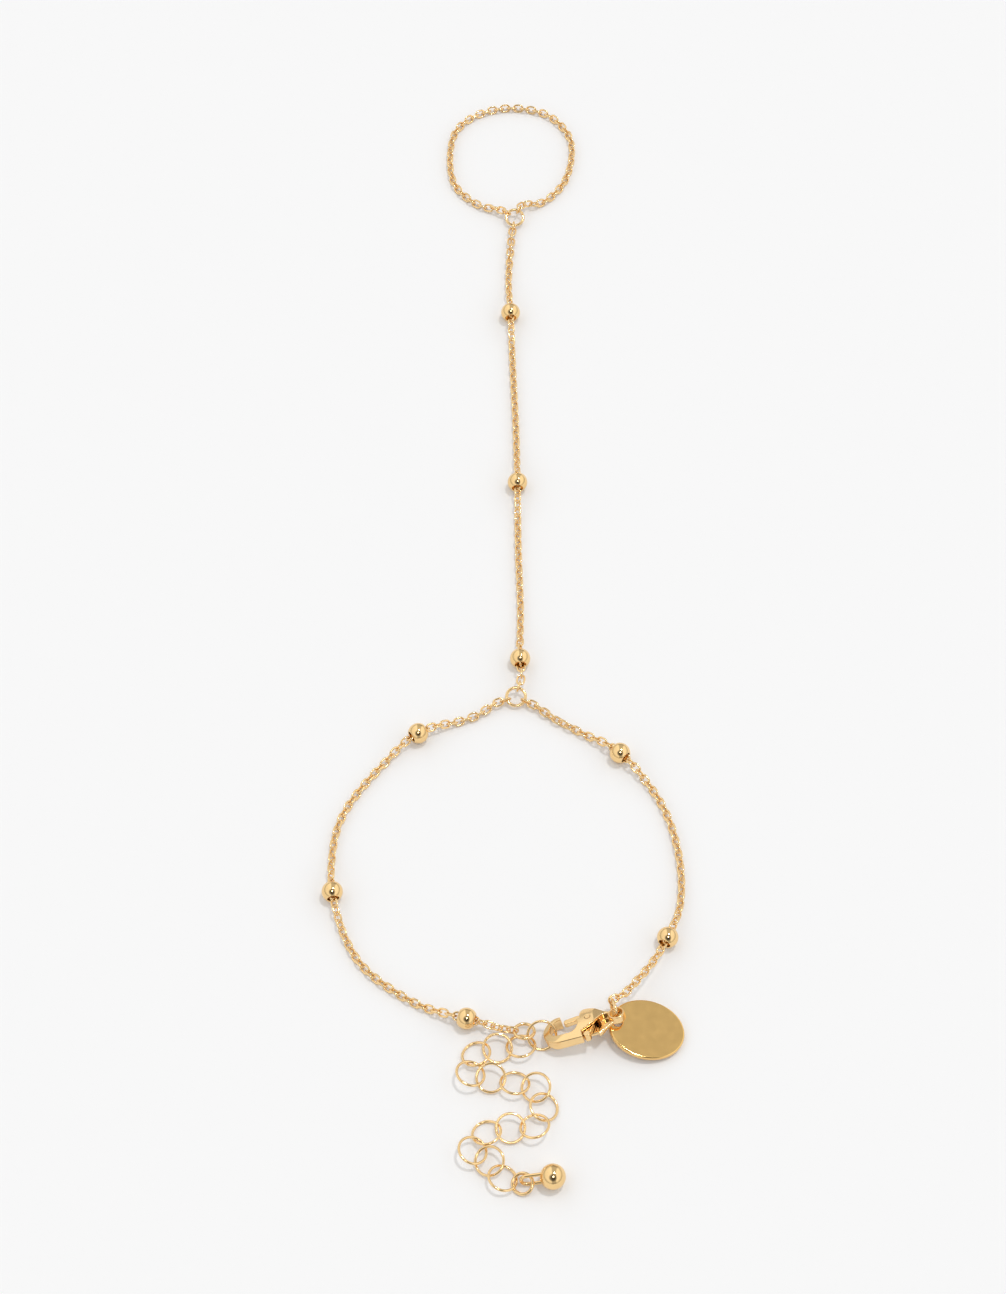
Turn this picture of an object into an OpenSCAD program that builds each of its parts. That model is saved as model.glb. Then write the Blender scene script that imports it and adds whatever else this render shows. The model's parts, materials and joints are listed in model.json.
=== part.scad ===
/* [Chain] */
// Wire of a chain link
link_wire = 0.3; // [0.26:0.01:0.34]
// Outside length of a chain link
link_l = 1.82; // [1.7:0.02:2.2]
// Outside width of a chain link
link_w = 1.34; // [1.3:0.01:1.5]
// Clear space between a link and what it hooks
link_gap = 0.13; // [0.1:0.01:0.16]

/* [Beads] */
// Diameter of a round bead
bead_d = 3; // [2.6:0.1:3.6]
// Clear space between a bead's bore and the chain in it
bore_gap = 0.14; // [0.12:0.01:0.25]

/* [Jump rings] */
// Outside diameter of a jump ring
jump_d = 3.2; // [3:0.1:3.6]
// Wire of a jump ring
jump_wire = 0.45; // [0.38:0.01:0.46]
// Outside diameter of the jump ring that carries the tag
tag_ring_d = 3.8; // [3.6:0.05:4]

/* [Extender] */
// Outside diameter of an extender ring
ext_d = 4.25; // [4:0.05:4.4]
// Wire of an extender ring
ext_wire = 0.37; // [0.3:0.01:0.4]
// Diameter of the end ball
ball_d = 3.5; // [3:0.1:4.2]
// Outside width of the ball's eye
ball_eye_d = 2; // [1.9:0.1:2.4]
// Wire of the ball's eye
ball_eye_wire = 0.5; // [0.4:0.05:0.5]

/* [Clasp] */
// Length of the clasp from the hook's bow to the middle of its eye
clasp_l = 10.4; // [10.2:0.1:11]
// Thickness of the clasp at its crown
clasp_t = 2.2; // [2:0.05:2.4]
// Thickness of the lever
lever_t = 0.7; // [0.6:0.05:0.8]
// Diameter of the hinge pin
pin_d = 0.7; // [0.6:0.05:0.8]
// Outside diameter of the clasp's eye
eye_d = 2.24; // [2.2:0.02:2.3]
// Hole of the clasp's eye
eye_hole_d = 1.7; // [1.65:0.01:1.75]
// Height of the clasp's eye
eye_h = 1.2; // [1.1:0.05:1.4]

/* [Tag] */
// Length of the oval tag
tag_l = 10.5; // [9:0.1:12]
// Width of the oval tag
tag_w = 8.5; // [7.5:0.1:9.5]
// Thickness of the tag
tag_t = 0.8; // [0.6:0.05:1]
// Hole near the tag's edge
tag_hole_d = 1.3; // [1.2:0.05:1.4]
// Metal left between the hole and the tag's edge
tag_land = 0.5; // [0.4:0.05:0.6]

/* [Hidden] */
gold = "goldenrod";

round_sides = 32;
wire_sides = 16;
link_r = (link_w - link_wire) / 2;
link_straight = link_l - link_w;
pitch = link_l - 2 * link_wire - link_gap;
// Height of a link's middle when it lies on the table at 45 degrees, and when it stands upright
table_gap = 0.03;
rest_z = link_r * sin(45) + link_wire / 2 + table_gap;
upright_z = link_w / 2 + table_gap;
// From the middle of an end link to the middle of the ring wire that it hooks
hook = link_l / 2 - link_wire - jump_wire / 2 - link_gap;
jump_r = (jump_d - jump_wire) / 2;
tag_ring_r = (tag_ring_d - jump_wire) / 2;
ext_r = (ext_d - ext_wire) / 2;
bore_d = link_w + 2 * bore_gap;
// Stretch over which a chain comes down from a bead or a ring, and turns to 45 degrees
fall_run = 5.5;
twist_run = 12;

// Chosen points of each chain's route on the table, from one ring to the next
hand_points = [[1, 66], [0.6, 58], [0.9, 51], [1.2, 42], [1.7, 29], [1.9, 18.5], [2, 7], [2.3, -4],
    [2.2, -13]];
left_points = [[-4, -22.5], [-12.5, -26], [-19, -32.5], [-23.5, -40], [-24.5, -48], [-23.5, -55],
    [-20, -62.5], [-14, -67.5], [-8.5, -70.2], [-5.2, -71.2], [-2, -72.1]];
right_points = [[7, -23], [16.3, -29.1], [22, -36.5], [24.5, -45], [24.5, -53.5], [22.5, -59],
    [20, -63.5], [17.3, -67.2]];
finger_points = [[-0.6, 72.6], [-4.5, 74.2], [-8, 78], [-9, 83.5], [-8, 90], [-4.5, 93.5], [1, 95],
    [7, 93.5], [10.5, 89], [11, 84.5], [9.5, 78.5], [6, 74.5], [2.6, 73.2]];
extender_points = [[5, -73.55], [2.15, -75], [-1.05, -75.3], [-3.95, -76.15], [-4.7, -79.35],
    [-1.95, -79.75], [1.3, -80.5], [4.15, -81.2], [5.2, -83.9], [3.95, -86.9], [0.7, -87], [-2.5, -87.6],
    [-4.35, -90.4], [-2.1, -91.75], [-0.35, -94.1]];
// Where the beads sit, as shares of their chain's length
hand_beads = [0.209, 0.584, 0.945];
left_beads = [0.177, 0.5525, 0.9185];
right_beads = [0.264, 0.787];

// Centre, height, azimuth of the lean and tilt of each jump ring
finger_ring_at = [1.6, 71, 1.05];
finger_ring_lean = [-90, 15];
junction_at = [1.6, -19.6, 1.05];
junction_lean = [-90, 15];
end_ring_at = [2.6, -72.9, 1.15];
end_ring_lean = [90, 20];
ball_ring_at = [2.3, -94.8, 0.81];
ball_ring_lean = [230, 21];
// Moves the middle of the whole object's box to the origin
place = [0.2, 0.34, 0];

// Vectors
function unit(v) = v / norm(v);
function normal_of(lean) = [sin(lean[1]) * cos(lean[0]), sin(lean[1]) * sin(lean[0]), cos(lean[1])];
// Direction in a ring's plane that is nearest to an azimuth, and the wire's direction there
function ring_out(n, azimuth) =
    let (h = [cos(azimuth), sin(azimuth), 0])
    unit(h - (h * n) * n);
// An end link on a ring: its middle, its level axis away from the ring, and the wire's direction
function end_link(at, n, r, out) =
    let (t = cross(n, out), a = unit([t[1], -t[0], 0]), away = a * out < 0 ? -a : a)
    [at + out * r + away * hook, away, t];
function ring_end(at, lean, azimuth) =
    let (n = normal_of(lean))
    end_link(at, n, jump_r, ring_out(n, azimuth));

// A smooth curve through chosen points, with knots spaced by the root of each chord
function knot(a, b) = sqrt(norm(b - a));
function mix(a, b, t0, t1, t) = a * (t1 - t) / (t1 - t0) + b * (t - t0) / (t1 - t0);
function span_point(p0, p1, p2, p3, u) =
    let (t1 = knot(p0, p1), t2 = t1 + knot(p1, p2), t3 = t2 + knot(p2, p3), t = t1 + u * (t2 - t1),
         a1 = mix(p0, p1, 0, t1, t), a2 = mix(p1, p2, t1, t2, t), a3 = mix(p2, p3, t2, t3, t))
    mix(mix(a1, a2, 0, t2, t), mix(a2, a3, t1, t3, t), t1, t2, t);
function smooth(p, n = 8) =
    let (q = concat([2 * p[0] - p[1]], p, [2 * p[len(p) - 1] - p[len(p) - 2]]))
    [for (i = [1:len(p) - 1]) for (j = [0:n - 1]) span_point(q[i - 1], q[i], q[i + 1], q[i + 2], j / n),
     p[len(p) - 1]];
// Table of length so far against one coordinate of a curve
function lengths(c) = [for (i = 0, s = 0; i < len(c); s = s + (i + 1 < len(c) ? norm(c[i + 1] - c[i]) : 0),
    i = i + 1) s];
function table(c, s, k) = [for (i = [0:len(c) - 1]) [s[i], c[i][k]]];
function last(v) = v[len(v) - 1];
function fall(u) = u >= 1 ? 0 : (1 + cos(180 * max(u, 0))) / 2;

// A chain's route: the end links' middles with a short straight lead, and the chosen points
lead = 1.6;
sample = 0.5;
function route(start, points, end) = [for (p = concat([start[0], start[0] + start[1] * lead], points,
    [end[0] + end[1] * lead, end[0]])) [p[0], p[1]]];
// A chain's height falls from its end rings and its beads to where it rests on the table
function fall_from(z) = fall_run * max(1, z - rest_z);
function end_z(s, z) = (upright_z - rest_z) * sqrt(fall(s / twist_run))
    + (z - upright_z) * fall(s / fall_from(z));
function chain_z(s, total, z0, z1, beads) = rest_z + norm([end_z(s, z0) + end_z(total - s, z1),
    (bead_d / 2 - rest_z) * max([for (b = beads) fall((abs(s - b * total) - bead_d / 2) / fall_run)])]);
// A chain as [links - 1, step, curve lengths, curve, start, end, bead shares]
function chain_of(start, points, end, beads) =
    let (flat = smooth(route(start, points, end)), s = lengths(flat), total = last(s),
         n = ceil(total / sample), x = table(flat, s, 0), y = table(flat, s, 1),
         c = [for (i = [0:n]) let (d = i * total / n)
              [lookup(d, x), lookup(d, y), chain_z(d, total, start[0][2], end[0][2], beads)]],
         l = lengths(c), count = round(last(l) / pitch))
    [count, last(l) / count, l, c, start, end, beads];
function chain_len(ch) = ch[0] * ch[1];
function chain_at(ch, s) = [for (k = [0:2]) lookup(s, table(ch[3], ch[2], k))];
function chain_dir(ch, s) = unit(chain_at(ch, min(s + pitch / 2, chain_len(ch)))
    - chain_at(ch, max(s - pitch / 2, 0)));
// Length along a chain to a bead at a share of its route on the table
function bead_s(ch, share) = lookup(share * (len(ch[2]) - 1), [for (i = [0:len(ch[2]) - 1]) [i, ch[2][i]]]);
// Roll that puts a link's plane across the wire direction t when the link runs along d
function roll_across(t, d) =
    let (left = unit([-d[1], d[0], 0]), up = cross(d, left))
    atan2(-(t * left), t * up);
function wrap(a, low) = a - 180 * floor((a - low) / 180);
function chain_roll(ch, i) =
    let (s = i * ch[1], rest = chain_len(ch) - s,
         first = wrap(roll_across(ch[4][2], ch[4][1]), -45),
         final = wrap(roll_across(ch[5][2], -ch[5][1]) - 90 * ch[0], -45))
    90 * i + 45 + (first - 45) * fall(s / twist_run) + (final - 45) * fall(rest / twist_run);

module along(at, d, roll = 0) {
    translate(place + at)
        rotate([0, -asin(d[2]), atan2(d[1], d[0])])
            rotate([roll, 0, 0])
                children();
}

// One oval link, flat, its length along X
module link() {
    for (side = [0, 180])
        rotate([0, 0, side]) {
            translate([link_straight / 2, 0, 0])
                rotate([0, 0, -90])
                    rotate_extrude(angle = 180, $fn = round_sides)
                        translate([link_r, 0])
                            circle(d = link_wire, $fn = wire_sides);
            translate([-link_straight / 2, link_r, 0])
                rotate([0, 90, 0])
                    cylinder(h = link_straight, d = link_wire, $fn = wire_sides);
        }
}

module chain(ch) {
    color(gold)
        for (i = [0:ch[0]])
            along(chain_at(ch, i * ch[1]), chain_dir(ch, i * ch[1]), chain_roll(ch, i))
                link();
}

// A round bead, drilled for the chain, on the chain at a share of its length
module bead(ch, share) {
    s = bead_s(ch, share);
    color(gold)
        along(chain_at(ch, s), chain_dir(ch, s))
            rotate([0, 90, 0])
                difference() {
                    sphere(d = bead_d, $fn = round_sides);
                    cylinder(h = 2 * bead_d, d = bore_d, center = true, $fn = round_sides);
                }
}

module wire_ring(r, wire) {
    rotate_extrude($fn = 48)
        translate([r, 0])
            circle(d = wire, $fn = wire_sides);
}

module jump_ring(at, lean) {
    color(gold)
        translate(place + at)
            rotate([0, lean[1], lean[0]])
                wire_ring(jump_r, jump_wire);
}

// Clasp: its own frame has X from the bow to the eye, the eye at the origin and the lever on +Y
clasp_yaw = 12.5;
clasp_pitch = 12.4;
clasp_roll = 24;
// The extender hooks the bow's end, which stays, and the eye with all that hangs on it follows the length
bow_end = [5.28, -73.8, 1.17];
clasp_dir = [cos(clasp_pitch) * cos(clasp_yaw), cos(clasp_pitch) * sin(clasp_yaw), sin(clasp_pitch)];
clasp_at = bow_end + clasp_l * clasp_dir;
module in_clasp() {
    translate(place + clasp_at)
        rotate([0, 0, clasp_yaw])
            rotate([0, -clasp_pitch, 0])
                rotate([-clasp_roll, 0, 0])
                    children();
}

// Tag ring: upright through the clasp's eye, its plane along this azimuth
tag_ring_azimuth = 105;
tag_across = [cos(tag_ring_azimuth), sin(tag_ring_azimuth), 0];
tag_ring_at = clasp_at + 1.2 * tag_across - [0, 0, 1.03];
tag_end_angle = 48;
tag_end_turn = 75;
tag_end = let (out = tag_across * cos(tag_end_angle) + [0, 0, sin(tag_end_angle)],
               t = -tag_across * sin(tag_end_angle) + [0, 0, cos(tag_end_angle)],
               a = [cos(tag_ring_azimuth - tag_end_turn), sin(tag_ring_azimuth - tag_end_turn), 0])
    [tag_ring_at + out * tag_ring_r + a * hook, a, t];

// Hand chain and wrist chain
hand = chain_of(ring_end(finger_ring_at, finger_ring_lean, 262), hand_points,
    ring_end(junction_at, junction_lean, 76), hand_beads);
left = chain_of(ring_end(junction_at, junction_lean, 200), left_points,
    ring_end(end_ring_at, end_ring_lean, 172), left_beads);
right = chain_of(ring_end(junction_at, junction_lean, 332), right_points, tag_end, right_beads);

// Finger loop as one tube along its route
function tube_ring(c, d, r, sides) =
    let (side = unit([-d[1], d[0], 0]), up = [0, 0, 1])
    [for (k = [0:sides - 1]) c + r * (cos(360 * k / sides) * side + sin(360 * k / sides) * up)];
module tube(c, r, sides = 8) {
    n = len(c);
    rings = [for (i = [0:n - 1]) tube_ring(c[i], unit(c[min(i + 1, n - 1)] - c[max(i - 1, 0)]), r, sides)];
    points = [for (g = rings) for (p = g) p];
    walls = [for (i = [0:n - 2]) for (k = [0:sides - 1])
        [i * sides + k, (i + 1) * sides + k, (i + 1) * sides + (k + 1) % sides, i * sides + (k + 1) % sides]];
    start = [[for (k = [0:sides - 1]) k]];
    end = [[for (k = [sides - 1:-1:0]) (n - 1) * sides + k]];
    polyhedron(points, concat(walls, start, end));
}

module finger_chain() {
    color(gold)
        tube([for (p = smooth(finger_points, 6)) place + [p[0], p[1], upright_z]], link_w / 2);
}

// Extender: rings tilted to either side in turn, each through the next
ext_tilt = 0.36;
hooked_slope = [0, 0.62];
function turn90(v) = [-v[1], v[0]];
ext_n = len(extender_points);
ext_u = [for (i = [0:ext_n - 2]) unit(extender_points[i + 1] - extender_points[i])];
ext_slope = [for (i = [0:ext_n - 1]) i == 0 ? hooked_slope : (i % 2 == 0 ? -1 : 1) * ext_tilt
    * turn90(unit(ext_u[max(i - 1, 0)] + ext_u[min(i, ext_n - 2)]))];
ext_step = [for (i = [0:ext_n - 2]) norm(extender_points[i + 1] - extender_points[i])];
// How far each ring's middle is raised, so that it crosses the ring before it near the middle
hooked_rise = 0.37;
rise_kept = 0.8;
ext_rise = [for (i = 0, z = hooked_rise; i < ext_n;
    z = max(0, rise_kept * z + (i + 1 < ext_n ? (ext_slope[i] + ext_slope[i + 1]) * ext_u[i] * ext_step[i] / 2
        : 0)), i = i + 1) z];
ext_low = ext_r * ext_tilt / sqrt(1 + pow(ext_tilt, 2)) + ext_wire / 2 + 0.01;
module extender_ring(i) {
    g = ext_slope[i];
    color(gold)
        translate(place + concat(extender_points[i], ext_low + ext_rise[i]))
            rotate([0, atan(norm(g)), atan2(-g[1], -g[0])])
                wire_ring(ext_r, ext_wire);
}

// Clasp body: a hook and a hollow shell in one outline, crowned above and below
bow_r = 2.35;
bow_at = [-clasp_l + bow_r, -0.25];
shell_r = 2.55;
shell_at = [-4.4, -0.2];
neck_r = 1.1;
neck_t = 1.1;
neck_at = [-eye_d / 2 - 0.45, -0.2];
// Both faces curve across the shell and more slowly along it, and slope down to the neck from here
crown_drop = 0.42;
crown_r = (pow(shell_r, 2) + pow(crown_drop, 2)) / (2 * crown_drop);
long_crown_r = 26;
crown_x = -4.6;
taper_x = -3.2;
hollow_r = 1.4;
hollow_from = [-clasp_l + hollow_r + 1, 0.05];
hollow_to = [-6.9, -0.05];
nose_x = -clasp_l + 2.8;
mouth_x = -5.3;
// The shell's corner beside the mouth is cut back in two steps
shell_corner = [[mouth_x + 0.3, 1.3], [mouth_x + 0.55, 1.95], [mouth_x + 1.2, 2.6]];
// The upper face is narrower than the lower one on the knob's side, above a ledge with a groove in it
upper_edge = [[-5, -1.65], [-3.2, -0.75], [-1.9, 0.45]];
ledge_z = -0.1;
groove_z = -0.35;
rim_w = 0.4;
hinge_at = [-3.9, 0.35];
hub_r = 0.95;
lever_w = 0.85;
lever_y = 1.45;
lever_gap = 0.13;
pin_gap = 0.05;
knob_at = [-4.5, -2.25];
knob_d = 0.95;
// Where the knob is when the lever is fully open
lever_open = 18;
knob_arm = knob_at - hinge_at;
knob_open = hinge_at + [knob_arm[0] * cos(lever_open) - knob_arm[1] * sin(lever_open),
    knob_arm[0] * sin(lever_open) + knob_arm[1] * cos(lever_open)];
// Slot that the lever turns in, and the notch in the shell's side that its knob moves along
slot_h = lever_t + 2 * lever_gap;
mouth_slot_at = [mouth_x - 1, lever_y - 2.6];
mouth_slot = [1.9, 4.5];
notch_from = knob_at[0] - knob_d / 2 - lever_gap;
notch_to = knob_open[0] + knob_d / 2 + 2 * lever_gap;
notch_y = knob_at[1] + knob_d / 2 + lever_gap;

// Two circles joined by their outer tangents, which run a hair inside so that they cross the circles cleanly
tangent_inset = 0.998;
module tangents(a, ra, b, rb) {
    d = norm(b - a);
    dir = atan2(b[1] - a[1], b[0] - a[0]);
    tilt = acos((ra - rb) / d);
    near = tangent_inset * ra;
    far = tangent_inset * rb;
    polygon([
        a + near * [cos(dir + tilt), sin(dir + tilt)],
        b + far * [cos(dir + tilt), sin(dir + tilt)],
        b + far * [cos(dir - tilt), sin(dir - tilt)],
        a + near * [cos(dir - tilt), sin(dir - tilt)]]);
}
module joined(a, ra, b, rb) {
    translate(a) circle(r = ra, $fn = 64);
    translate(b) circle(r = rb, $fn = 64);
    tangents(a, ra, b, rb);
}

// Outline of the hook and shell, a drop that runs out into the neck
module body_outline(inset = 0) {
    joined(bow_at, bow_r - inset, shell_at, shell_r - inset);
    translate(neck_at) circle(r = neck_r - inset, $fn = 64);
    tangents(shell_at, shell_r - inset, neck_at, neck_r - inset);
}

// Ground outside the upper face's edge, on the knob's side
module below_edge() {
    polygon(concat([[upper_edge[0][0], -2 * shell_r]], upper_edge, [[eye_d, upper_edge[2][1]],
        [eye_d, -2 * shell_r]]));
}

module crowned() {
    intersection() {
        linear_extrude(height = clasp_t, center = true)
            children();
        across_crown(1);
        across_crown(-1);
        along_crown(1);
        along_crown(-1);
        neck_taper();
    }
}

module neck_taper() {
    top = [[-2 * clasp_l, clasp_t], [taper_x, clasp_t / 2], [neck_at[0], neck_t / 2], [eye_d, neck_t / 2]];
    rotate([90, 0, 0])
        linear_extrude(height = 4 * shell_r, center = true)
            polygon(concat(top, [for (i = [3:-1:0]) [top[i][0], -top[i][1]]]));
}

module across_crown(side) {
    translate([0, 0, side * (clasp_t / 2 - crown_r)])
        rotate([0, 90, 0])
            cylinder(r = crown_r, h = 4 * clasp_l, center = true, $fn = 128);
}

module along_crown(side) {
    translate([crown_x, 0, side * (clasp_t / 2 - long_crown_r)])
        rotate([90, 0, 0])
            cylinder(r = long_crown_r, h = 2 * clasp_l, center = true, $fn = 128);
}

module lever_arm() {
    joined([mouth_x, lever_y], lever_w / 2, [nose_x + lever_w / 2 + 2 * lever_gap, lever_y - 0.15],
        lever_w / 2);
    joined([mouth_x, lever_y], lever_w / 2, hinge_at, hub_r);
}

module clasp_body() {
    color(gold)
        in_clasp() {
            difference() {
                union() {
                    difference() {
                        crowned() body_outline();
                        translate([0, 0, ledge_z])
                            linear_extrude(height = clasp_t)
                                below_edge();
                        translate([0, 0, groove_z])
                            linear_extrude(height = clasp_t)
                                intersection() {
                                    below_edge();
                                    body_outline(rim_w);
                                }
                    }
                    cylinder(d = eye_d, h = eye_h, center = true, $fn = round_sides);
                }
                // Hollow of the bow, the mouth that the lever closes, and the knob's notch
                linear_extrude(height = 2 * clasp_t, center = true) {
                    joined(hollow_from, hollow_r, hollow_to, hollow_r + 0.05);
                    polygon(concat([[nose_x, hollow_from[1] + 0.5], [mouth_x + 0.3, hollow_from[1] + 0.5]],
                        shell_corner, [[shell_corner[2][0], 2 * shell_r], [nose_x, 2 * shell_r]]));
                    translate([notch_from, notch_y - shell_r])
                        square([notch_to - notch_from, shell_r]);
                }
                // Slot for the lever, open to both sides of the shell
                linear_extrude(height = slot_h, center = true) {
                    translate(hinge_at) circle(r = hub_r + 0.55, $fn = 64);
                    translate(mouth_slot_at) square(mouth_slot);
                    translate([notch_from, notch_y - 0.5])
                        square([notch_to - notch_from, hinge_at[1] - notch_y + 0.5]);
                }
                translate(concat(hinge_at, 0))
                    cylinder(d = pin_d + 0.04, h = 2 * clasp_t, center = true, $fn = round_sides);
                cylinder(d = eye_hole_d, h = 2 * clasp_t, center = true, $fn = round_sides);
            }
        }
}

module clasp_lever() {
    color(gold)
        in_clasp() {
            difference() {
                union() {
                    linear_extrude(height = lever_t, center = true) {
                        lever_arm();
                        tangents(hinge_at, hub_r, knob_at, lever_w / 2);
                        translate(knob_at) circle(d = lever_w, $fn = 64);
                    }
                    translate(concat(knob_at, 0))
                        cylinder(d = knob_d, h = 1.7 * lever_t, center = true, $fn = round_sides);
                }
                translate(concat(hinge_at, 0))
                    cylinder(d = pin_d + 2 * pin_gap, h = 2 * clasp_t, center = true, $fn = round_sides);
            }
        }
}

module clasp_pin() {
    color(gold)
        in_clasp()
            translate(concat(hinge_at, 0))
                cylinder(d = pin_d, h = clasp_t - 0.04, center = true, $fn = round_sides);
}

// Tag: an oval plate that lies on its far end, its hole on the tag ring's wire below the eye
tag_yaw = -11.3;
tag_hole_angle = 202;
tag_hole_at = tag_ring_at + tag_ring_r * (tag_across * cos(tag_hole_angle) + [0, 0, sin(tag_hole_angle)]);
tag_hole_in = tag_land + tag_hole_d / 2;
tag_tilt = asin((tag_hole_at[2] - tag_t / 2 - table_gap) / (tag_l - tag_hole_in));
module tag_disc() {
    color(gold)
        translate(place + tag_hole_at)
            rotate([0, tag_tilt, tag_yaw])
                difference() {
                    translate([tag_l / 2 - tag_hole_in, 0, 0])
                        scale([tag_l / tag_w, 1, 1])
                            cylinder(d = tag_w, h = tag_t, center = true, $fn = 96);
                    cylinder(d = tag_hole_d, h = 4 * tag_t, center = true, $fn = round_sides);
                }
}

// End ball: a ball with a long wire eye, whose two legs run into the ball
ball_at = [6.3, -94.2, ball_d / 2];
ball_azimuth = 184;
ball_eye_r = (ball_eye_d - ball_eye_wire) / 2;
ball_eye_drop = 10;
ball_eye_turn = -68;
ball_eye_reach = 4.5 - ball_eye_d / 2;
ball_leg_from = 0.8;
module end_ball() {
    color(gold)
        translate(place + ball_at)
            rotate([0, 0, ball_azimuth])
                rotate([0, ball_eye_drop, 0]) {
                    sphere(d = ball_d, $fn = 64);
                    rotate([ball_eye_turn, 0, 0]) {
                        translate([ball_eye_reach, 0, 0])
                            rotate([0, 0, -90])
                                rotate_extrude(angle = 180, $fn = 48)
                                    translate([ball_eye_r, 0])
                                        circle(d = ball_eye_wire, $fn = wire_sides);
                        for (side = [1, -1])
                            translate([ball_leg_from, side * ball_eye_r, 0])
                                rotate([0, 90, 0])
                                    cylinder(h = ball_eye_reach - ball_leg_from, d = ball_eye_wire,
                                        $fn = wire_sides);
                    }
                }
}

module finger_jump_ring() { jump_ring(finger_ring_at, finger_ring_lean); }
module hand_chain() { chain(hand); }
module junction_jump_ring() { jump_ring(junction_at, junction_lean); }
module wrist_chain_left() { chain(left); }
module wrist_chain_right() { chain(right); }
module end_jump_ring() { jump_ring(end_ring_at, end_ring_lean); }
module ball_jump_ring() { jump_ring(ball_ring_at, ball_ring_lean); }
module tag_ring() {
    color(gold)
        translate(place + tag_ring_at)
            rotate([90, 0, tag_ring_azimuth])
                wire_ring(tag_ring_r, jump_wire);
}

finger_chain();
finger_jump_ring();
hand_chain();
bead(hand, hand_beads[0]);  // hand_bead_1
bead(hand, hand_beads[1]);  // hand_bead_2
bead(hand, hand_beads[2]);  // hand_bead_3
junction_jump_ring();
wrist_chain_left();
bead(left, left_beads[0]);  // left_bead_1
bead(left, left_beads[1]);  // left_bead_2
bead(left, left_beads[2]);  // left_bead_3
wrist_chain_right();
bead(right, right_beads[0]);  // right_bead_1
bead(right, right_beads[1]);  // right_bead_2
end_jump_ring();
for (i = [0:14])
    extender_ring(i);
ball_jump_ring();
tag_ring();
end_ball();
clasp_body();
clasp_lever();
clasp_pin();
tag_disc();
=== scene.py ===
import json
from math import asin, atan2, cos, degrees, floor, pi, radians, sin, sqrt

import bmesh
import bpy
import numpy as np
from mathutils import Matrix, Vector


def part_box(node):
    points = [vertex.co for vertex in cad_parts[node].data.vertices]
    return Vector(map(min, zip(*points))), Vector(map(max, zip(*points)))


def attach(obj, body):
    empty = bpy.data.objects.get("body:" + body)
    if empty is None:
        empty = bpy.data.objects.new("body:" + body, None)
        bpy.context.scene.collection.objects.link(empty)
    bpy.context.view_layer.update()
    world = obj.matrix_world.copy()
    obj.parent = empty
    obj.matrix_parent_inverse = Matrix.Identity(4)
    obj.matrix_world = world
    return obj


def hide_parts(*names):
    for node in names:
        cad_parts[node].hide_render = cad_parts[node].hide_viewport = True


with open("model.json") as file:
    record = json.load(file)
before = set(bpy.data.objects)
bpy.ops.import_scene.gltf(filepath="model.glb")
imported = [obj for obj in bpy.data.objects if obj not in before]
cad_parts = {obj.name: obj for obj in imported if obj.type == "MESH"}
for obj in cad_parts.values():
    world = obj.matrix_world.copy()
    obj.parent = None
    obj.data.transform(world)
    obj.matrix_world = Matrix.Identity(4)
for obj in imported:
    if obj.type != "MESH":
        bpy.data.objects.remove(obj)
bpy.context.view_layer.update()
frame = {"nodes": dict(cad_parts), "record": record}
nodes = frame["nodes"]
scene = bpy.context.scene
MM = 0.001
# The part's own shift, which brings the middle of its box to the origin
PLACE = Vector((0.2, 0.34, 0))
UP = Vector((0, 0, 1))

# Camera: 58 degrees above the table and level, looking along +Y
VIEW_UP = radians(58)
VIEW_DISTANCE = 440
VIEW_TARGET = Vector((-0.1, -10.06, 0))
TO_CAMERA = Vector((0, -cos(VIEW_UP), sin(VIEW_UP)))
camera_data = bpy.data.cameras.new("camera")
camera_data.lens = 82.8
camera_data.sensor_width = 36
camera_data.clip_start = 0.01
camera = bpy.data.objects.new("camera", camera_data)
scene.collection.objects.link(camera)
camera.location = (VIEW_TARGET + VIEW_DISTANCE * TO_CAMERA) * MM
camera.rotation_euler = (pi / 2 - VIEW_UP, 0, 0)
scene.camera = camera
scene.view_settings.view_transform = "Standard"


# Shader nodes

def add(tree, kind, **values):
    """A new node, with its inputs and settings filled in by name."""
    made = tree.nodes.new(kind)
    for name, value in values.items():
        if name in made.inputs:
            made.inputs[name].default_value = value
        else:
            setattr(made, name, value)
    return made


def calculate(tree, operation, *values):
    """A sum on one or two values, each a number or another node's output."""
    made = add(tree, "ShaderNodeMath", operation=operation)
    for socket, value in zip(made.inputs, values):
        if isinstance(value, bpy.types.NodeSocket):
            tree.links.new(value, socket)
        else:
            socket.default_value = value
    return made.outputs["Value"]


def map_range(tree, value, low, high, to_low, to_high, **settings):
    """A value taken from the range low to high onto the range to_low to to_high."""
    made = add(tree, "ShaderNodeMapRange", **settings,
               **{"From Min": low, "From Max": high, "To Min": to_low, "To Max": to_high})
    tree.links.new(value, made.inputs["Value"])
    return made.outputs["Result"]


def noise(tree, place, scale, detail, stretch=None):
    made = add(tree, "ShaderNodeTexNoise", Scale=scale, Detail=detail)
    if stretch:
        turned = add(tree, "ShaderNodeMapping", Scale=stretch, Rotation=(0, 0, HAIRLINE_TURN))
        tree.links.new(place, turned.inputs["Vector"])
        place = turned.outputs["Vector"]
    tree.links.new(place, made.inputs["Vector"])
    return made.outputs["Fac"]


# Gold: the noise that varies its tone and gloss, in cells for each metre, and the part of it in use
TONE_SCALE, GLOSS_SCALE = 420, 900
NOISE_LOW, NOISE_HIGH = 0.3, 0.7
DULL_TONE = 0.96
GLOSSIEST, DULLEST = 0.8, 1.25
# Each kind of unevenness: its height in millimetres, its cells for each metre and its stretch
RIPPLES = (0.03, 300, None)
HAIRLINES = (0.002, 2200, (0.05, 1, 1))
GRAINS = (0.002, 9000, None)
HAIRLINE_TURN = radians(35)


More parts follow.
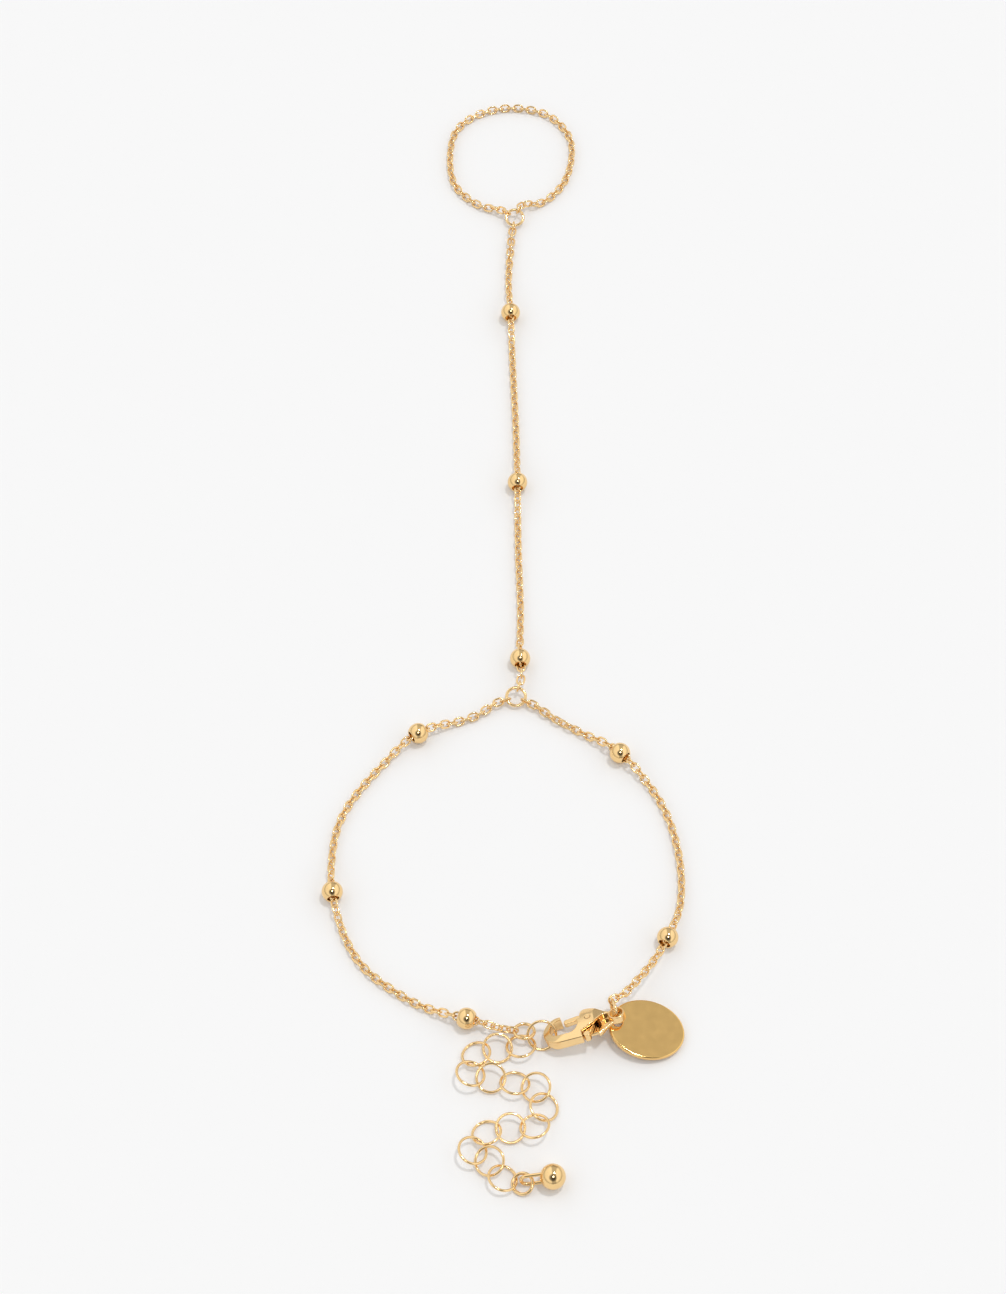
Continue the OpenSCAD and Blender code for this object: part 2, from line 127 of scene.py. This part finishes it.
def gold(name, tint, rough, ripple=0.0, scratches=0.0, grain=0.0):
    """Plated gold: small changes of tone and gloss, slow ripples, fine hairlines and a fine grain."""
    material = bpy.data.materials.new(name)
    material.use_nodes = True
    tree = material.node_tree
    tree.nodes.clear()
    out = add(tree, "ShaderNodeOutputMaterial")
    shader = add(tree, "ShaderNodeBsdfPrincipled", Metallic=1.0)
    tree.links.new(shader.outputs["BSDF"], out.inputs["Surface"])
    place = add(tree, "ShaderNodeTexCoord").outputs["Object"]

    tone = add(tree, "ShaderNodeValToRGB")
    for stop, at, level in zip(tone.color_ramp.elements, (NOISE_LOW, NOISE_HIGH), (DULL_TONE, 1.0)):
        stop.position = at
        stop.color = (*(c * level for c in tint), 1)
    tree.links.new(noise(tree, place, TONE_SCALE, 3), tone.inputs["Fac"])
    tree.links.new(tone.outputs["Color"], shader.inputs["Base Color"])

    gloss = map_range(tree, noise(tree, place, GLOSS_SCALE, 4), NOISE_LOW, NOISE_HIGH,
                      GLOSSIEST * rough, DULLEST * rough)
    tree.links.new(gloss, shader.inputs["Roughness"])

    normal = None
    for strength, (height, scale, stretch) in ((ripple, RIPPLES), (scratches, HAIRLINES), (grain, GRAINS)):
        if strength:
            bump = add(tree, "ShaderNodeBump", Strength=strength, Distance=height * MM)
            tree.links.new(noise(tree, place, scale, 2, stretch), bump.inputs["Height"])
            if normal:
                tree.links.new(normal, bump.inputs["Normal"])
            normal = bump.outputs["Normal"]
    if normal:
        tree.links.new(normal, shader.inputs["Normal"])
    return material


materials = {
    "chain_gold": gold("chain_gold", (0.96, 0.68, 0.34), 0.14, ripple=0.15),
    "ring_gold": gold("ring_gold", (0.96, 0.68, 0.34), 0.13, ripple=0.1),
    "bead_gold": gold("bead_gold", (0.95, 0.66, 0.31), 0.1, ripple=0.25),
    "clasp_gold": gold("clasp_gold", (0.95, 0.66, 0.32), 0.13, ripple=0.3, scratches=0.2),
    "tag_gold": gold("tag_gold", (0.92, 0.595, 0.22), 0.1, ripple=0.04, scratches=0.2, grain=0.15),
}
slots = {s["node"]: s["material_slot"] for s in frame["record"]["subparts"]}
for name, thing in nodes.items():
    thing.data.materials.clear()
    thing.data.materials.append(materials[slots[name]])


# Mesh code, in millimetres in the part's frame

def piece(name, mesh, body, slot, *replaced):
    """A finished piece that rides on a body in place of its CAD nodes."""
    bmesh.ops.recalc_face_normals(mesh, faces=mesh.faces)
    mesh.transform(Matrix.Scale(MM, 4))
    data = bpy.data.meshes.new(name)
    mesh.to_mesh(data)
    mesh.free()
    data.shade_smooth()
    data.materials.append(materials[slot])
    made = bpy.data.objects.new(name, data)
    scene.collection.objects.link(made)
    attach(made, body)
    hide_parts(*replaced)
    return made


def bridge(mesh, a, b):
    """Faces between two closed loops of as many vertices."""
    for k in range(len(a)):
        mesh.faces.new((a[k], b[k], b[(k + 1) % len(a)], a[(k + 1) % len(a)]))


def skin(mesh, rows, closed):
    """Faces over rows of points, each row a closed loop, with ends capped unless the rows close too."""
    made = [[mesh.verts.new(p) for p in row] for row in rows]
    for a, b in zip(made, made[1:] + made[:1] if closed else made[1:]):
        bridge(mesh, a, b)
    if not closed:
        mesh.faces.new(made[0])
        mesh.faces.new(made[-1])


def circle(count):
    return [2 * pi * k / count for k in range(count)]


# The end face of a cut wire, as a share of the wire's width
CUT_FACE = 0.85


def wire(mesh, points, radius, sides, normal, closed=True):
    """Round wire along points in one plane. An open wire has slightly rounded ends."""
    rows = []
    last = len(points) - 1
    for i, p in enumerate(points):
        before = points[i - 1] if closed or i else p
        after = points[0 if i == last else i + 1] if closed or i < last else p
        side = (after - before).cross(normal).normalized()
        r = radius * (CUT_FACE if not closed and i in (0, last) else 1)
        rows.append([p + r * (cos(a) * side + sin(a) * normal) for a in circle(sides)])
    skin(mesh, rows, closed)


def lathe(mesh, profile, turn, centre, around=64):
    """A closed outline of (radius, height) pairs turned round an axis."""
    rows = [[centre + turn @ Vector((r * cos(a), r * sin(a), z)) for r, z in profile] for a in circle(around)]
    skin(mesh, rows, True)


def leaned(lean):
    """A ring's or plate's turn when it tilts by lean[1] degrees towards the azimuth lean[0]."""
    return Matrix.Rotation(radians(lean[0]), 3, "Z") @ Matrix.Rotation(radians(lean[1]), 3, "Y")


# Jump rings, bent from round wire with two cut ends that nearly meet

JUMP_R, JUMP_WIRE_R, TAG_RING_R = 1.375, 0.225, 1.675
CUT_GAP, CUT_BEVEL = 0.06, 0.04
FINGER_RING_AT, FINGER_RING_LEAN = Vector((1.6, 71, 1.05)), (-90, 15)
# The tag ring hangs in the clasp's eye, a clasp's length from the bow's end
BOW_END, CLASP_L, CLASP_YAW, CLASP_PITCH = Vector((5.28, -73.8, 1.17)), 10.4, radians(12.5), radians(12.4)
CLASP_DIR = Vector((cos(CLASP_PITCH) * cos(CLASP_YAW), cos(CLASP_PITCH) * sin(CLASP_YAW), sin(CLASP_PITCH)))
TAG_RING_AZIMUTH, TAG_RING_ASIDE, TAG_RING_DROP = radians(105), 1.2, 1.03
TAG_ACROSS = Vector((cos(TAG_RING_AZIMUTH), sin(TAG_RING_AZIMUTH), 0))
TAG_RING_AT = BOW_END + CLASP_L * CLASP_DIR + TAG_RING_ASIDE * TAG_ACROSS - TAG_RING_DROP * UP
TAG_RING_TURN = Matrix.Rotation(TAG_RING_AZIMUTH, 3, "Z") @ Matrix.Rotation(radians(90), 3, "X")
# Each ring's middle, turn and radius, and where round it the cut is, in degrees
SPLIT_RINGS = {
    "finger_jump_ring": (FINGER_RING_AT, leaned(FINGER_RING_LEAN), JUMP_R, 110),
    "junction_jump_ring": (Vector((1.6, -19.6, 1.05)), leaned((-90, 15)), JUMP_R, 0),
    "end_jump_ring": (Vector((2.6, -72.9, 1.15)), leaned((90, 20)), JUMP_R, 160),
    "ball_jump_ring": (Vector((2.3, -94.8, 0.81)), leaned((230, 21)), JUMP_R, 60),
    "tag_ring": (TAG_RING_AT, TAG_RING_TURN, TAG_RING_R, 300),
}


def split_ring(centre, turn, radius, cut, count=72):
    start = radians(cut) + CUT_GAP / 2 / radius
    end = radians(cut) + 2 * pi - CUT_GAP / 2 / radius
    bevel = CUT_BEVEL / radius
    angles = [start, start + bevel, *(start + (end - start) * i / count for i in range(1, count)),
              end - bevel, end]
    mesh = bmesh.new()
    wire(mesh, [centre + PLACE + turn @ Vector((radius * cos(a), radius * sin(a), 0)) for a in angles],
         JUMP_WIRE_R, 20, turn @ UP, closed=False)
    return mesh


for ring, shape in SPLIT_RINGS.items():
    piece(ring + "_split", split_ring(*shape), "chain", "ring_gold", ring)


# Finger loop: oval links along the CAD tube's route, hooked at both ends on the jump ring

LINK_L, LINK_W, LINK_WIRE, LINK_GAP, TABLE_GAP = 1.82, 1.34, 0.3, 0.13, 0.03
LINK_R = (LINK_W - LINK_WIRE) / 2
PITCH = LINK_L - 2 * LINK_WIRE - LINK_GAP
HOOK = LINK_L / 2 - LINK_WIRE - JUMP_WIRE_R - LINK_GAP
FINGER_POINTS = [(-4.5, 74.2), (-8, 78), (-9, 83.5), (-8, 90), (-4.5, 93.5), (1, 95), (7, 93.5), (10.5, 89),
                 (11, 84.5), (9.5, 78.5), (6, 74.5)]
# Where round the ring the two end links hook on, in degrees, and how far they run straight
START_AZIMUTH, END_AZIMUTH, LEAD = 144, 66, 1.1
# Links lie at 45 degrees to either side in turn, apart from those near the ring
SLANT, FALL_RUN, TWIST_RUN = 45, 5.5, 6
# The most that a link lies below the height that its neighbour needs
NEIGHBOUR_DROP = 0.15
CURVE_STEPS, LINK_ARC_STEPS, LINK_SIDES = 24, 10, 12


def mix(a, b, ta, tb, t):
    return a * ((tb - t) / (tb - ta)) + b * ((t - ta) / (tb - ta))


def smooth(points, count):
    """A curve through points, its knots spaced by the root of each chord."""
    p = [2 * points[0] - points[1], *points, 2 * points[-1] - points[-2]]
    curve = []
    for a, b, c, d in zip(p, p[1:], p[2:], p[3:]):
        t1 = sqrt((b - a).length)
        t2 = t1 + sqrt((c - b).length)
        t3 = t2 + sqrt((d - c).length)
        for j in range(count):
            t = t1 + (t2 - t1) * j / count
            one, two, three = mix(a, b, 0, t1, t), mix(b, c, t1, t2, t), mix(c, d, t2, t3, t)
            curve.append(mix(mix(one, two, 0, t2, t), mix(two, three, t1, t3, t), t1, t2, t))
    return [*curve, points[-1]]


def fall(u):
    """1 at the ring, easing to 0 at the end of a run."""
    return 0 if u >= 1 else (1 + cos(pi * max(u, 0))) / 2


def ring_end(azimuth):
    """An end link on the finger jump ring: its middle, its level way out, and the wire's direction there."""
    n = leaned(FINGER_RING_LEAN) @ UP
    h = Vector((cos(radians(azimuth)), sin(radians(azimuth)), 0))
    out = (h - h.dot(n) * n).normalized()
    along = n.cross(out)
    away = Vector((along.y, -along.x, 0)).normalized()
    away = away if away.dot(out) > 0 else -away
    return FINGER_RING_AT + JUMP_R * out + HOOK * away, away, along


def roll_across(along, d):
    """Roll, from -45 to 135 degrees, that sets a link which runs along d across the wire."""
    left = Vector((-d.y, d.x, 0)).normalized()
    roll = degrees(atan2(-along.dot(left), along.dot(d.cross(left))))
    return roll - 180 * floor((roll + 45) / 180)


def link_points():
    """The wire's middle round one flat oval link, its length along X."""
    straight = (LINK_L - LINK_W) / 2
    ends = [(side, radians(180 * k / LINK_ARC_STEPS - 90 * side))
            for side in (1, -1) for k in range(LINK_ARC_STEPS + 1)]
    return [Vector((side * straight + LINK_R * cos(a), LINK_R * sin(a), 0)) for side, a in ends]


def height_at(share):
    """How high a link's middle lies on the table when its width stands up by this share."""
    return LINK_R * abs(share) + LINK_WIRE / 2 + TABLE_GAP


def loop_links():
    """Each link's middle and its roll in degrees, from the ring round to the ring again."""
    start, end = ring_end(START_AZIMUTH), ring_end(END_AZIMUTH)
    route = [start[0], start[0] + LEAD * start[1], *(Vector((x, y, 0)) for x, y in FINGER_POINTS),
             end[0] + LEAD * end[1], end[0]]
    curve = smooth([Vector((p.x, p.y, 0)) for p in route], CURVE_STEPS)
    lengths = np.concatenate(([0], np.cumsum([(b - a).length for a, b in zip(curve, curve[1:])])))
    total = lengths[-1]
    count = round(total / PITCH)
    step = total / count
    first = roll_across(start[2], start[1])
    final = (roll_across(end[2], -end[1]) - 90 * count + 45) % 180 - 45
    upright = LINK_W / 2 + TABLE_GAP
    links = []
    for i in range(count + 1):
        s = i * step
        roll = 90 * i + (SLANT + (first - SLANT) * fall(s / TWIST_RUN)
                         + (final - SLANT) * fall((total - s) / TWIST_RUN))
        z = max(height_at(sin(radians(roll))), height_at(cos(radians(roll))) - NEIGHBOUR_DROP) \
            + (start[0].z - upright) * fall(s / FALL_RUN) + (end[0].z - upright) * fall((total - s) / FALL_RUN)
        links.append((Vector((np.interp(s, lengths, [p.x for p in curve]),
                              np.interp(s, lengths, [p.y for p in curve]), z)), roll))
    return links


def finger_loop():
    mesh = bmesh.new()
    links = loop_links()
    for i, (centre, roll) in enumerate(links):
        before, after = links[max(i - 1, 0)][0], links[min(i + 1, len(links) - 1)][0]
        d = (after - before).normalized()
        turn = (Matrix.Rotation(atan2(d.y, d.x), 3, "Z") @ Matrix.Rotation(-asin(d.z), 3, "Y")
                @ Matrix.Rotation(radians(roll), 3, "X"))
        wire(mesh, [centre + PLACE + turn @ p for p in link_points()], LINK_WIRE / 2, LINK_SIDES, turn @ UP)
    return mesh


piece("finger_links", finger_loop(), "chain", "chain_gold", "finger_chain")


# Beads: a polished hollow ball whose bore has a small rounded rim

BEAD_R, BORE_R, RIM = 1.5, 0.81, 0.1
RIM_STEPS, BALL_STEPS = 7, 17
# The links within this distance of a bead's middle give its bore's direction
BEAD_REACH = 2.6
CHAIN_OF = {"hand": "hand_chain", "left": "wrist_chain_left", "right": "wrist_chain_right"}


def bead_profile():
    rim_z = sqrt((BEAD_R - RIM) ** 2 - (BORE_R + RIM) ** 2)
    outward = atan2(rim_z, BORE_R + RIM)
    half = [(BORE_R + RIM + RIM * cos(a), rim_z + RIM * sin(a)) for a in np.linspace(pi, outward, RIM_STEPS)]
    half += [(BEAD_R * cos(a), BEAD_R * sin(a)) for a in np.linspace(outward, 0, BALL_STEPS)[1:-1]]
    wall = [(BORE_R, rim_z * t) for t in (-0.6, 0, 0.6)]
    return wall + half + [(BEAD_R, 0)] + [(r, -z) for r, z in reversed(half)]


def bead_ball(bead):
    chain = CHAIN_OF[bead.split("_")[0]]
    low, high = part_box(bead)
    middle = (low + high) / 2 / MM
    near = np.array([v.co / MM - middle for v in nodes[chain].data.vertices
                     if (v.co / MM - middle).length < BEAD_REACH])
    axis = Vector(np.linalg.svd(near - near.mean(0), full_matrices=False)[2][0])
    mesh = bmesh.new()
    lathe(mesh, bead_profile(), UP.rotation_difference(axis).to_matrix(), middle)
    return mesh


for bead in [n for n in nodes if "_bead_" in n]:
    piece(bead + "_drilled", bead_ball(bead), "chain", "bead_gold", bead)


# Clasp: the CAD casting with softly rounded edges

def softened(node, voxel, passes):
    source = nodes[node].data.copy()
    source.transform(Matrix.Scale(1 / MM, 4))
    source.materials.clear()
    rough = bpy.data.objects.new(node + "_rough", source)
    scene.collection.objects.link(rough)
    cast = rough.modifiers.new("cast", "REMESH")
    cast.mode = "VOXEL"
    cast.voxel_size = voxel
    polish = rough.modifiers.new("polish", "SMOOTH")
    polish.factor = 0.5
    polish.iterations = passes
    mesh = bmesh.new()
    mesh.from_object(rough, bpy.context.evaluated_depsgraph_get())
    bpy.data.objects.remove(rough)
    return mesh


piece("clasp_body_cast", softened("clasp_body", voxel=0.05, passes=30), "chain", "clasp_gold", "clasp_body")
piece("clasp_lever_cast", softened("clasp_lever", voxel=0.04, passes=16), "lever", "clasp_gold", "clasp_lever")


# Tag: a flat oval plate with rounded rims, outside and at its hole

TAG_L, TAG_W, TAG_T, HOLE_R, TAG_LAND, TAG_FILLET, FLAT_RIM = 10.5, 8.5, 0.8, 0.65, 0.5, 0.2, 0.03
TAG_YAW, TAG_HOLE_ANGLE = -11.3, radians(202)


def tag_plate():
    hole = TAG_RING_AT + TAG_RING_R * (TAG_ACROSS * cos(TAG_HOLE_ANGLE) + UP * sin(TAG_HOLE_ANGLE))
    tilt = asin((hole.z - TAG_T / 2 - TABLE_GAP) / (TAG_L - TAG_LAND - HOLE_R))
    turn = leaned((TAG_YAW, degrees(tilt)))
    hole += PLACE
    middle = hole + turn @ Vector((TAG_L / 2 - TAG_LAND - HOLE_R, 0, 0))
    mesh = bmesh.new()
    edge = TAG_T / 2 - TAG_FILLET
    corner = [(TAG_FILLET * (1 - sin(a)), edge + TAG_FILLET * cos(a)) for a in np.linspace(0, pi / 2, 8)]
    inward = [(TAG_FILLET + FLAT_RIM, TAG_T / 2)] + corner
    inward += [(d, -z) for d, z in reversed(inward)]
    loops = []
    for centre, long_r, short_r, sign, around in ((middle, TAG_L / 2, TAG_W / 2, -1, 160),
                                                  (hole, HOLE_R, HOLE_R, 1, 48)):
        rings = [[mesh.verts.new(centre + turn @ Vector(((long_r + sign * d) * cos(a),
                  (short_r + sign * d) * sin(a), z))) for a in circle(around)] for d, z in inward]
        for a, b in zip(rings, rings[1:]):
            bridge(mesh, a, b)
        loops.append((rings[0], rings[-1]))
    # The two flat faces, between the outer rim and the hole's
    for side in (0, 1):
        edges = [mesh.edges.get((loop[side][k], loop[side][k - 1])) for loop in loops
                 for k in range(len(loop[side]))]
        bmesh.ops.triangle_fill(mesh, edges=edges, use_beauty=True)
    return mesh


piece("tag_plate", tag_plate(), "chain", "tag_gold", "tag_disc")


# End ball with its long wire eye

BALL_AT, BALL_LEAN, BALL_R = Vector((6.3, -94.2, 1.75)), (184, 10), 1.75
EYE_ROLL, EYE_START, EYE_REACH, EYE_R, EYE_WIRE_R = radians(-68), 0.9, 3.5, 0.75, 0.25


def end_ball():
    middle = BALL_AT + PLACE
    mesh = bmesh.new()
    bmesh.ops.create_icosphere(mesh, subdivisions=6, radius=BALL_R, matrix=Matrix.Translation(middle))
    turn = leaned(BALL_LEAN) @ Matrix.Rotation(EYE_ROLL, 3, "X")
    leg = np.linspace(EYE_START, EYE_REACH, 8)[:-1]
    path = [Vector((x, -EYE_R, 0)) for x in leg]
    path += [Vector((EYE_REACH + EYE_R * cos(a), EYE_R * sin(a), 0)) for a in np.linspace(-pi / 2, pi / 2, 25)]
    path += [Vector((x, EYE_R, 0)) for x in reversed(leg)]
    wire(mesh, [middle + turn @ p for p in path], EYE_WIRE_R, 20, turn @ UP, closed=False)
    return mesh


piece("end_ball_and_eye", end_ball(), "chain", "bead_gold", "end_ball")


# Floor, in metres

FLOOR_REACH = 4
floor_mesh = bpy.data.meshes.new("floor")
floor_mesh.from_pydata([(x * FLOOR_REACH, y * FLOOR_REACH, 0) for x, y in ((-1, -1), (1, -1), (1, 1), (-1, 1))],
                       [], [(0, 1, 2, 3)])
paper = bpy.data.materials.new("paper")
paper.use_nodes = True
shader = paper.node_tree.nodes["Principled BSDF"]
shader.inputs["Base Color"].default_value = (0.9, 0.9, 0.9, 1)
shader.inputs["Roughness"].default_value = 0.9
shader.inputs["Specular IOR Level"].default_value = 0.1
floor_mesh.materials.append(paper)
backdrop = bpy.data.objects.new("floor", floor_mesh)
scene.collection.objects.link(backdrop)


# Light and surroundings

def sun(name, azimuth, height, strength, spread):
    """A far lamp at an azimuth and a height in degrees, as wide as its spread."""
    data = bpy.data.lights.new(name, "SUN")
    data.energy = strength
    data.angle = radians(spread)
    lamp = bpy.data.objects.new(name, data)
    level = cos(radians(height))
    towards = Vector((cos(radians(azimuth)) * level, sin(radians(azimuth)) * level, sin(radians(height))))
    lamp.rotation_euler = UP.rotation_difference(towards).to_euler()
    scene.collection.objects.link(lamp)


sun("window", 38, 74, 0.72, 6)
sun("softbox", -80, 68, 0.32, 14)

world = bpy.data.worlds.new("studio")
scene.world = world
world.use_nodes = True
tree = world.node_tree
tree.nodes.clear()
towards = add(tree, "ShaderNodeTexCoord").outputs["Generated"]
apart = add(tree, "ShaderNodeSeparateXYZ")
tree.links.new(towards, apart.inputs["Vector"])

# Two big softboxes, left and right, with a duller gap between them, a little right of overhead
GAP_MIDDLE, GAP_EDGE, BOX_EDGE, BOX_END = 0.15, 0.24, 0.36, 0.75
sideways = calculate(tree, "ABSOLUTE", calculate(tree, "SUBTRACT", apart.outputs["X"], GAP_MIDDLE))
walls = add(tree, "ShaderNodeValToRGB")
stops = walls.color_ramp.elements
for at in (GAP_EDGE, BOX_EDGE, BOX_END):
    stops.new(at)
for stop, level in zip(stops, (0.6, 0.6, 1.2, 1.05, 1.0)):
    stop.color = (level, level, level, 1)
tree.links.new(sideways, walls.inputs["Fac"])

# The room is duller near the table, and dark at the camera, out to 42 degrees round it
horizon = map_range(tree, apart.outputs["Z"], 0.0, 0.4, 0.45, 1.0)
facing = add(tree, "ShaderNodeVectorMath", operation="DOT_PRODUCT")
facing.inputs[1].default_value = TO_CAMERA
tree.links.new(towards, facing.inputs[0])
dark = map_range(tree, facing.outputs["Value"], cos(radians(42)), cos(radians(16)), 1.0, 0.12,
                 interpolation_type="SMOOTHSTEP")
light = add(tree, "ShaderNodeBackground")
tree.links.new(walls.outputs["Color"], light.inputs["Color"])
tree.links.new(calculate(tree, "MULTIPLY", dark, horizon), light.inputs["Strength"])
out = add(tree, "ShaderNodeOutputWorld")
tree.links.new(light.outputs["Background"], out.inputs["Surface"])
